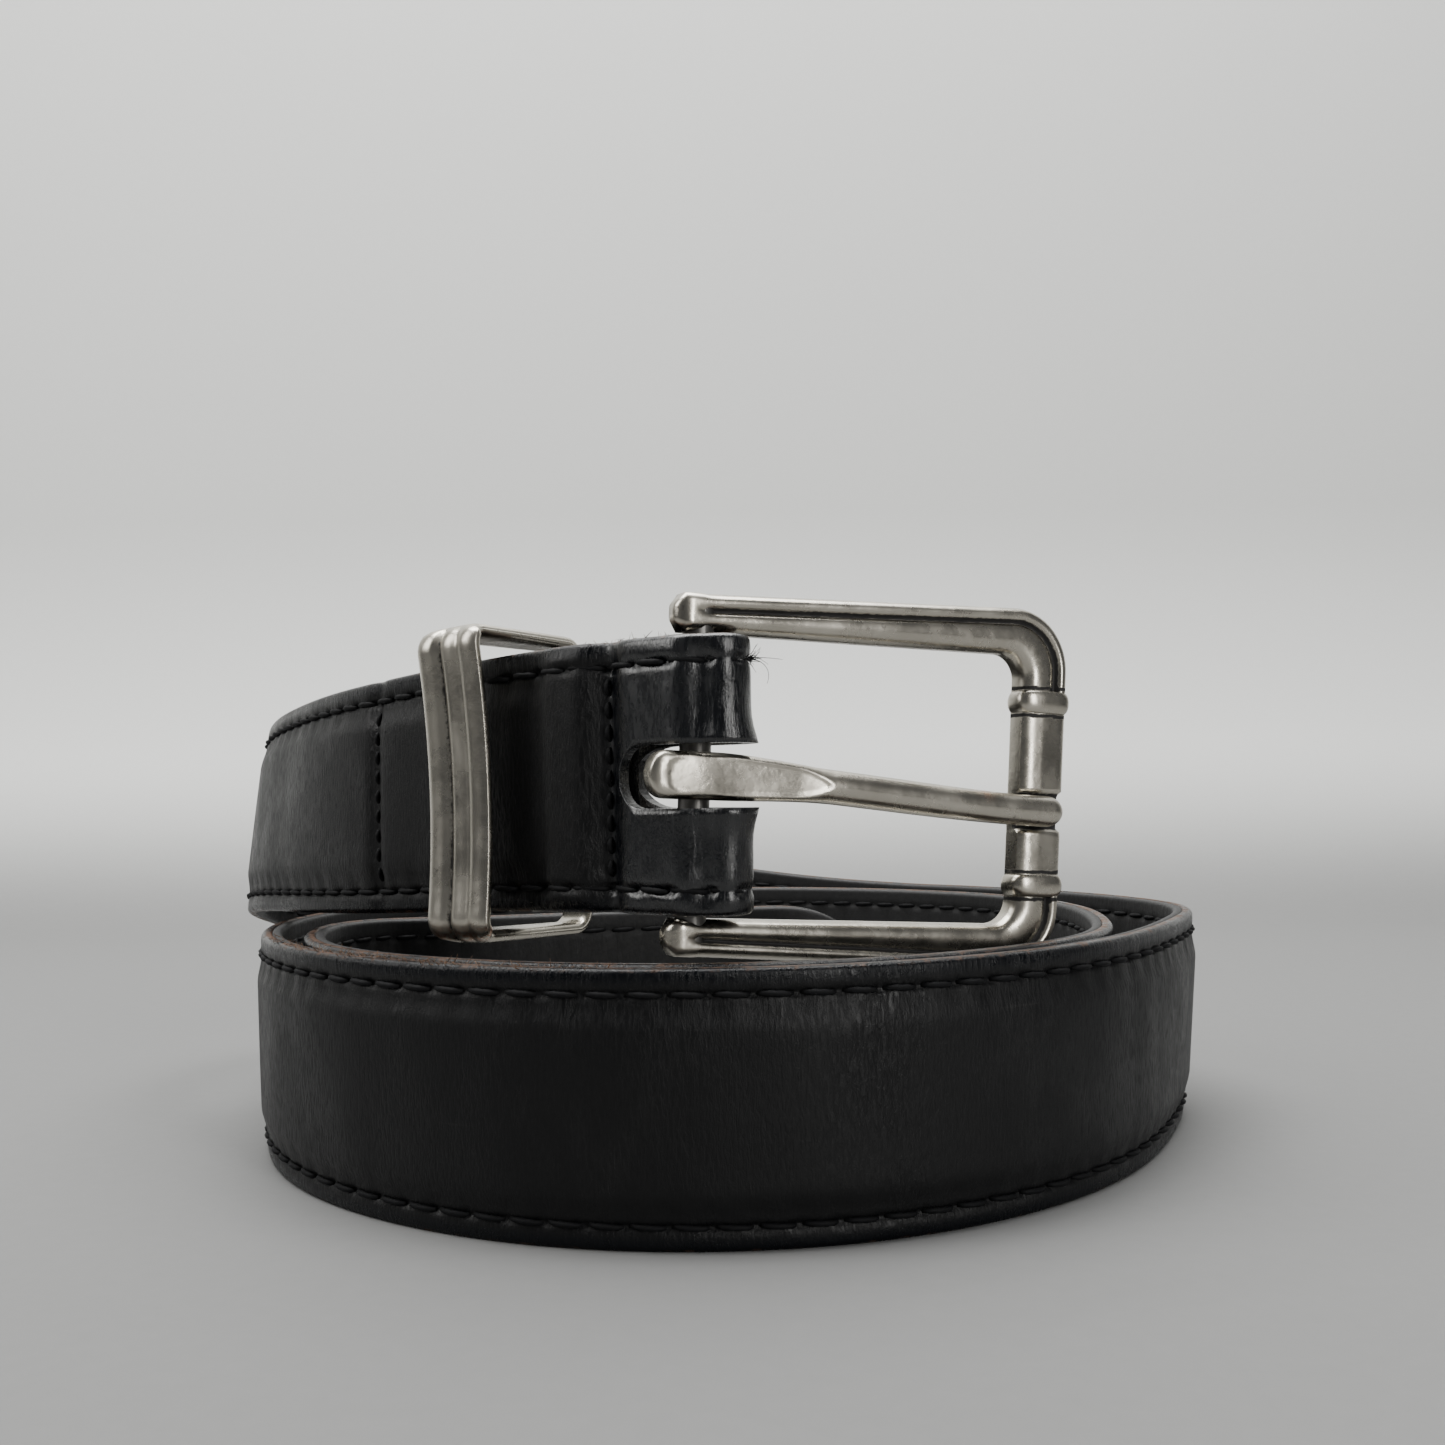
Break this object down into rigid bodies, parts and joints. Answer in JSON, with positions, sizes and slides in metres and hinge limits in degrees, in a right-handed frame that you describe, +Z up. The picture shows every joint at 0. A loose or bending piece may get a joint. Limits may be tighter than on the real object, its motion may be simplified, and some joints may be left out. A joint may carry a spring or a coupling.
{
  "type": "leather belt",
  "caption": "Coiled leather dress belt with a rectangular metal prong buckle and a metal keeper loop, standing on its edge.",
  "frame": {"origin": "centre of the base of the coiled belt's bounding box, on the surface that it stands on", "axes": "+Z up along the strap's width; -Y towards the buckle; +X to the right of somebody facing the buckle"},
  "size_m": [0.1509, 0.1474, 0.0696],
  "materials": {
    "strap_leather": "smooth waxed full grain with fine creases",
    "lining_leather": "matt lining leather",
    "filler_board": "raw leather board",
    "thread": "waxed bonded thread",
    "buckle_metal": "antique nickel with dark patina in the grooves",
    "bar_metal": "plain nickel"
  },
  "bodies": {
    "strap": {"outer_strap": "strap_leather", "lining_strap": "lining_leather", "strap_filler": "filler_board", "edge_stitches_upper": "thread", "edge_stitches_lower": "thread", "cross_stitches_fold": "thread", "cross_stitches_tab": "thread"},
    "buckle": {"buckle_frame": "buckle_metal", "heel_bar": "bar_metal"},
    "prong": {"prong": "buckle_metal"},
    "keeper": {"keeper": "buckle_metal"}
  },
  "joints": [
    {"name": "buckle_swing", "type": "hinge", "parent": "strap", "child": "buckle", "pos_m": [0.00171, -0.06304, 0.04983], "axis": [0.0445, 0.0203, 0.9988], "range_deg": [0, 65]},
    {"name": "prong_swing", "type": "hinge", "parent": "buckle", "child": "prong", "pos_m": [0.00171, -0.06304, 0.04983], "axis": [-0.0445, -0.0203, -0.9988], "range_deg": [0, 130]},
    {"name": "keeper_slide", "type": "slide", "parent": "strap", "child": "keeper", "axis": [-0.7751, 0.6303, -0.0438], "range_m": [-0.006, 0.006]}
  ]
}
